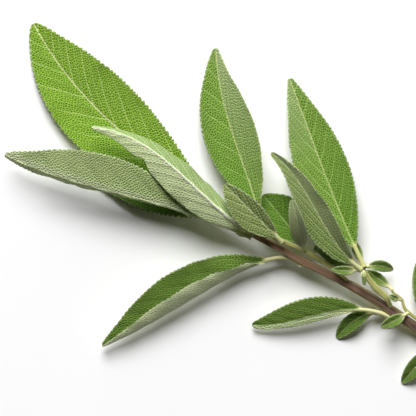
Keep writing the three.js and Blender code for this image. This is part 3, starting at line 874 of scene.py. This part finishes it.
def leaf_material(name, upper, lower, stalk, felt, sheen):
    """Both faces of a blade and its stalk, with felt, paler or darker and greener parts that are partly
    painted sheen, light and shade, and pale margins.
    """
    material = bpy.data.materials.new(name)
    material.use_nodes = True
    n = Nodes(material.node_tree)
    shader = material.node_tree.nodes["Principled BSDF"]
    top = n.group(LEAF_FACE, **upper)["Color"]
    bottom = n.group(LEAF_FACE, **lower)["Color"]
    color = n.blend(n.mark("under"), top, bottom)
    hairs = n.group(FELT, Amount=felt)
    color = n.blend(hairs["Mask"], color, HAIR_TONE_AND_PAINTED_LIGHT)
    # The pale mark, partly the hairs' own tone and partly painted light: above 0 it adds painted sheen and
    # light, below 0 painted shade that darkens and greens the blade.
    pale = n.mark("pale")
    color = n.blend(n.math("MULTIPLY", pale, 0.6, clamp=True), color, HAIR_TONE_AND_PAINTED_LIGHT)
    greener = n.blend(1.0, color, (0.6, 0.75, 0.44, 1), "MULTIPLY")
    color = n.blend(n.math("MULTIPLY", pale, -1.0, clamp=True), color, greener)
    edge = n.math("MULTIPLY", n.range(n.mark("off margin"), 0.5, 0.15), 0.4)
    color = n.blend(edge, color, HAIR_TONE_AND_PAINTED_LIGHT)
    color = n.blend(n.mark("on blade"), stalk, color)
    n.put(color, shader.inputs["Base Color"])
    n.put(n.range(hairs["Height"], 0.3, 0.7, 0.62, 0.85), shader.inputs["Roughness"])
    # Pebbles stand out above, and the net between them stands out below.
    pebbles = n.group(PEBBLES)["Height"]
    relief = n.math("MULTIPLY", pebbles, n.range(n.mark("under"), 0, 1, 1.0, -0.5))
    relief = n.math("MULTIPLY", relief, n.mark("on blade"))
    relief = n.math("ADD", relief, n.math("MULTIPLY", hairs["Height"], 0.25))
    n.put(n.bump(relief, 1.0, 0.00022), shader.inputs["Normal"])
    shader.inputs["Sheen Weight"].default_value = sheen
    shader.inputs["Sheen Roughness"].default_value = 0.4
    shader.inputs["Sheen Tint"].default_value = (0.9, 0.94, 0.82, 1)
    shader.inputs["Specular IOR Level"].default_value = 0.25
    return material


def stem_material(name, bark, bark_dark, green, felt):
    """Four-sided bark: fine streaks along the stem, pale ridges, and a cut face of pith and wood."""
    material = bpy.data.materials.new(name)
    material.use_nodes = True
    n = Nodes(material.node_tree)
    shader = material.node_tree.nodes["Principled BSDF"]
    join = material.node_tree.nodes.new("ShaderNodeCombineXYZ")
    for socket, mark, stretch in zip(join.inputs, ("across", "above", "along"), (1.6, 1.6, 0.09)):
        n.put(n.math("MULTIPLY", n.mark(mark), stretch), socket)
    streaks = n.range(n.noise(2.2, 3, 0.6, join.outputs[0]), 0.35, 0.65)
    color = n.blend(streaks, bark_dark, bark)
    # Painted light: the bark pales towards the main stem's tip, where the leaves above shade it.
    painted_light_share = n.range(n.mark("along"), *PAINTED_LIGHT_SPAN, 0, 0.5)
    color = n.blend(painted_light_share, color, PAINTED_LIGHT_BARK)
    color = n.blend(n.math("MULTIPLY", n.mark("ridge"), 0.22), color, green)
    color = n.blend(n.mark("shade"), color, green)
    hairs = n.group(FELT, Amount=felt)
    color = n.blend(hairs["Mask"], color, HAIR_TONE_AND_PAINTED_LIGHT)
    color = n.blend(n.mark("cut"), color, (0.66, 0.68, 0.42, 1))
    n.put(color, shader.inputs["Base Color"])
    n.put(n.range(streaks, 0, 1, 0.5, 0.72), shader.inputs["Roughness"])
    n.put(n.bump(streaks, 0.4, 0.00015), shader.inputs["Normal"])
    shader.inputs["Sheen Weight"].default_value = 0.15
    return material


def srgb(red, green, blue):
    """A colour given as it looks on a screen, from 0 to 255, as Blender's linear one."""
    def linear(value):
        value /= 255
        return value / 12.92 if value <= 0.04045 else ((value + 0.055) / 1.055) ** 2.4
    return (linear(red), linear(green), linear(blue), 1)


def leaf_face(pebble, dark, net, vein, rib, strengths):
    """What the leaf face group is given: five colours, and how strong net, veins and rib show."""
    names = ("Pebble", "Dark_Pebble", "Net", "Vein", "Rib")
    colors = dict(zip(names, (srgb(*color) for color in (pebble, dark, net, vein, rib))))
    return colors | dict(zip(("Net_Strength", "Vein_Strength", "Rib_Strength"), strengths))


# The hairs' pale tone, also used as painted sheen and painted light on some leaf halves.
HAIR_TONE_AND_PAINTED_LIGHT = srgb(210, 220, 174)
# Painted light for the main stem's tip, which the leaves above shade.
PAINTED_LIGHT_BARK = srgb(176, 134, 106)
PAINTED_LIGHT_SPAN = (34, 54)  # how far up the main stem its bark starts to pale, and is pale
FELT = felt_group()
DRIFT = drift_group()
PEBBLES = pebble_group()
VEINS = vein_group()
LEAF_FACE = leaf_face_group()

GREY_UNDERSIDE = leaf_face(
    (184, 202, 138), (104, 126, 56), (236, 242, 204), (240, 244, 208), (246, 248, 222), (0.85, 0.7, 0.85),
)
# A darker copy of the grey underside: painted shade for the turned leaf, whose upturned underside faces the
# lamp.
PAINTED_SHADE_UNDERSIDE = leaf_face(
    (148, 170, 104), (92, 114, 50), (202, 214, 164), (228, 234, 192), (246, 248, 222), (0.7, 0.7, 0.95),
)
GREY_FACE = leaf_face(
    (166, 192, 106), (106, 134, 50), (216, 230, 170), (214, 226, 172), (230, 236, 200), (0.8, 0.5, 0.7),
)
LEAF_FINISHES = {
    "bright": leaf_material(
        "bright sage leaf",
        leaf_face(
            (112, 164, 12), (58, 102, 0), (176, 210, 84), (200, 224, 130), (240, 240, 184),
            (0.85, 0.75, 1.0),
        ),
        GREY_UNDERSIDE, srgb(190, 192, 120), felt=0.04, sheen=0.03,
    ),
    "green": leaf_material(
        "green sage leaf",
        leaf_face(
            (98, 142, 20), (56, 96, 4), (154, 186, 84), (178, 204, 116), (208, 218, 148), (0.8, 0.6, 0.8),
        ),
        GREY_UNDERSIDE, srgb(196, 198, 132), felt=0.08, sheen=0.1,
    ),
    "deep": leaf_material(
        "deep green sage leaf",
        leaf_face(
            (96, 132, 30), (62, 94, 12), (124, 156, 62), (140, 168, 84), (186, 200, 132), (0.65, 0.5, 0.75),
        ),
        GREY_UNDERSIDE, srgb(220, 218, 162), felt=0.08, sheen=0.1,
    ),
    "olive": leaf_material(
        "olive sage leaf",
        leaf_face(
            (94, 114, 36), (56, 74, 14), (142, 160, 92), (180, 192, 134), (200, 208, 152), (0.75, 0.7, 0.7),
        ),
        GREY_UNDERSIDE, srgb(196, 198, 140), felt=0.12, sheen=0.15,
    ),
    "grey": leaf_material(
        "grey sage leaf", GREY_FACE, GREY_UNDERSIDE, srgb(196, 200, 140), felt=0.12, sheen=0.15,
    ),
    # The turned leaf's finish, with painted shade on its underside.
    "silver": leaf_material(
        "silver-backed sage leaf", GREY_FACE, PAINTED_SHADE_UNDERSIDE, srgb(196, 200, 140), felt=0.1, sheen=0.1,
    ),
}
STEM_BARK = stem_material(
    "purple stem bark", srgb(112, 82, 64), srgb(64, 44, 36), srgb(188, 180, 84), felt=0.05,
)
SHOOT_BARK = stem_material(
    "green shoot bark", srgb(190, 188, 112), srgb(146, 142, 74), srgb(194, 200, 122), felt=0.15,
)

# ---- The sprig ----------------------------------------------------------------------------------

for name, spec in STEMS.items():
    grow_stem(name, spec)

# The design's main stem has eight sides and four steps to an internode. Its lowest corner there and
# in the frame are the same point, which is what places this sprig in the frame.
design_steps = np.linspace(0, 1, 4 * len(STEMS["main_stem"]["internodes"]) + 1)
design_stem = stem_rings("main_stem", design_steps, 8, swollen=False)
ORIGIN = np.array(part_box("main_stem")[0]) - design_stem.reshape(-1, 3).min(0) * MM

for name in STEMS:
    bark, slot = (STEM_BARK, "stem_bark") if name == "main_stem" else (SHOOT_BARK, "shoot_bark")
    make_stem(name, bark)
for number, name in enumerate(LEAVES):
    make_leaf(name, number)

# ---- Table, light and camera --------------------------------------------------------------------

TABLE_SIZE = 6  # metres

# Each lamp is (place from the middle of the view, size), both in metres, and power in watts.
LAMPS = {
    "window": ((-0.2, 2.1, 2.15), 2.0, 122),
    "wall": ((-0.5, 3.1, 1.45), 3.2, 54),
}


def pale_table():
    material = bpy.data.materials.new("pale table")
    material.use_nodes = True
    n = Nodes(material.node_tree)
    shader = material.node_tree.nodes["Principled BSDF"]
    share = n.range(n.noise(14, 2), 0.3, 0.7)
    n.put(n.blend(share, srgb(249, 249, 250), srgb(251, 251, 252)), shader.inputs["Base Color"])
    shader.inputs["Roughness"].default_value = 0.8
    return material


def make_table():
    mesh = bpy.data.meshes.new("table")
    half = TABLE_SIZE / 2
    corners = [(x * half, y * half, 0) for x, y in ((-1, -1), (1, -1), (1, 1), (-1, 1))]
    mesh.from_pydata(corners, [], [(0, 1, 2, 3)])
    mesh.materials.append(pale_table())
    table = bpy.data.objects.new("table", mesh)
    bpy.context.scene.collection.objects.link(table)


def make_area_light(name, place, target, size, power):
    light = bpy.data.lights.new(name, "AREA")
    light.shape = "DISK"
    light.size = size
    light.energy = power
    lamp = bpy.data.objects.new(name, light)
    lamp.location = place
    lamp.rotation_euler = (Vector(target) - Vector(place)).to_track_quat("-Z", "Y").to_euler()
    bpy.context.scene.collection.objects.link(lamp)


# The camera looks straight down on a square of the table, whose middle is given from the stem's
# cut end.
VIEW_FROM_CUT = np.array([-71.96, 42.84, 0])
VIEW_SIZE = 116.5
CAMERA_HEIGHT = 1200
SENSOR = 36.0

cut_end = grown["main_stem"]["nodes"][0] * [1, 1, 0]
view_middle = (cut_end + VIEW_FROM_CUT) * MM + ORIGIN * [1, 1, 0]

make_table()
for name, (from_middle, size, power) in LAMPS.items():
    make_area_light(name, view_middle + np.array(from_middle), view_middle, size, power)

camera_data = bpy.data.cameras.new("above")
camera_data.sensor_width = SENSOR
camera_data.lens = SENSOR * CAMERA_HEIGHT / VIEW_SIZE
camera_data.clip_start = 0.01
camera = bpy.data.objects.new("above", camera_data)
camera.location = (view_middle[0], view_middle[1], CAMERA_HEIGHT * MM)
bpy.context.scene.collection.objects.link(camera)
bpy.context.scene.camera = camera

world = bpy.data.worlds.new("room")
world.use_nodes = True
background = world.node_tree.nodes["Background"]
background.inputs["Color"].default_value = (1, 0.88, 0.6, 1)
background.inputs["Strength"].default_value = 0.02
bpy.context.scene.world = world
bpy.context.scene.view_settings.view_transform = "Standard"
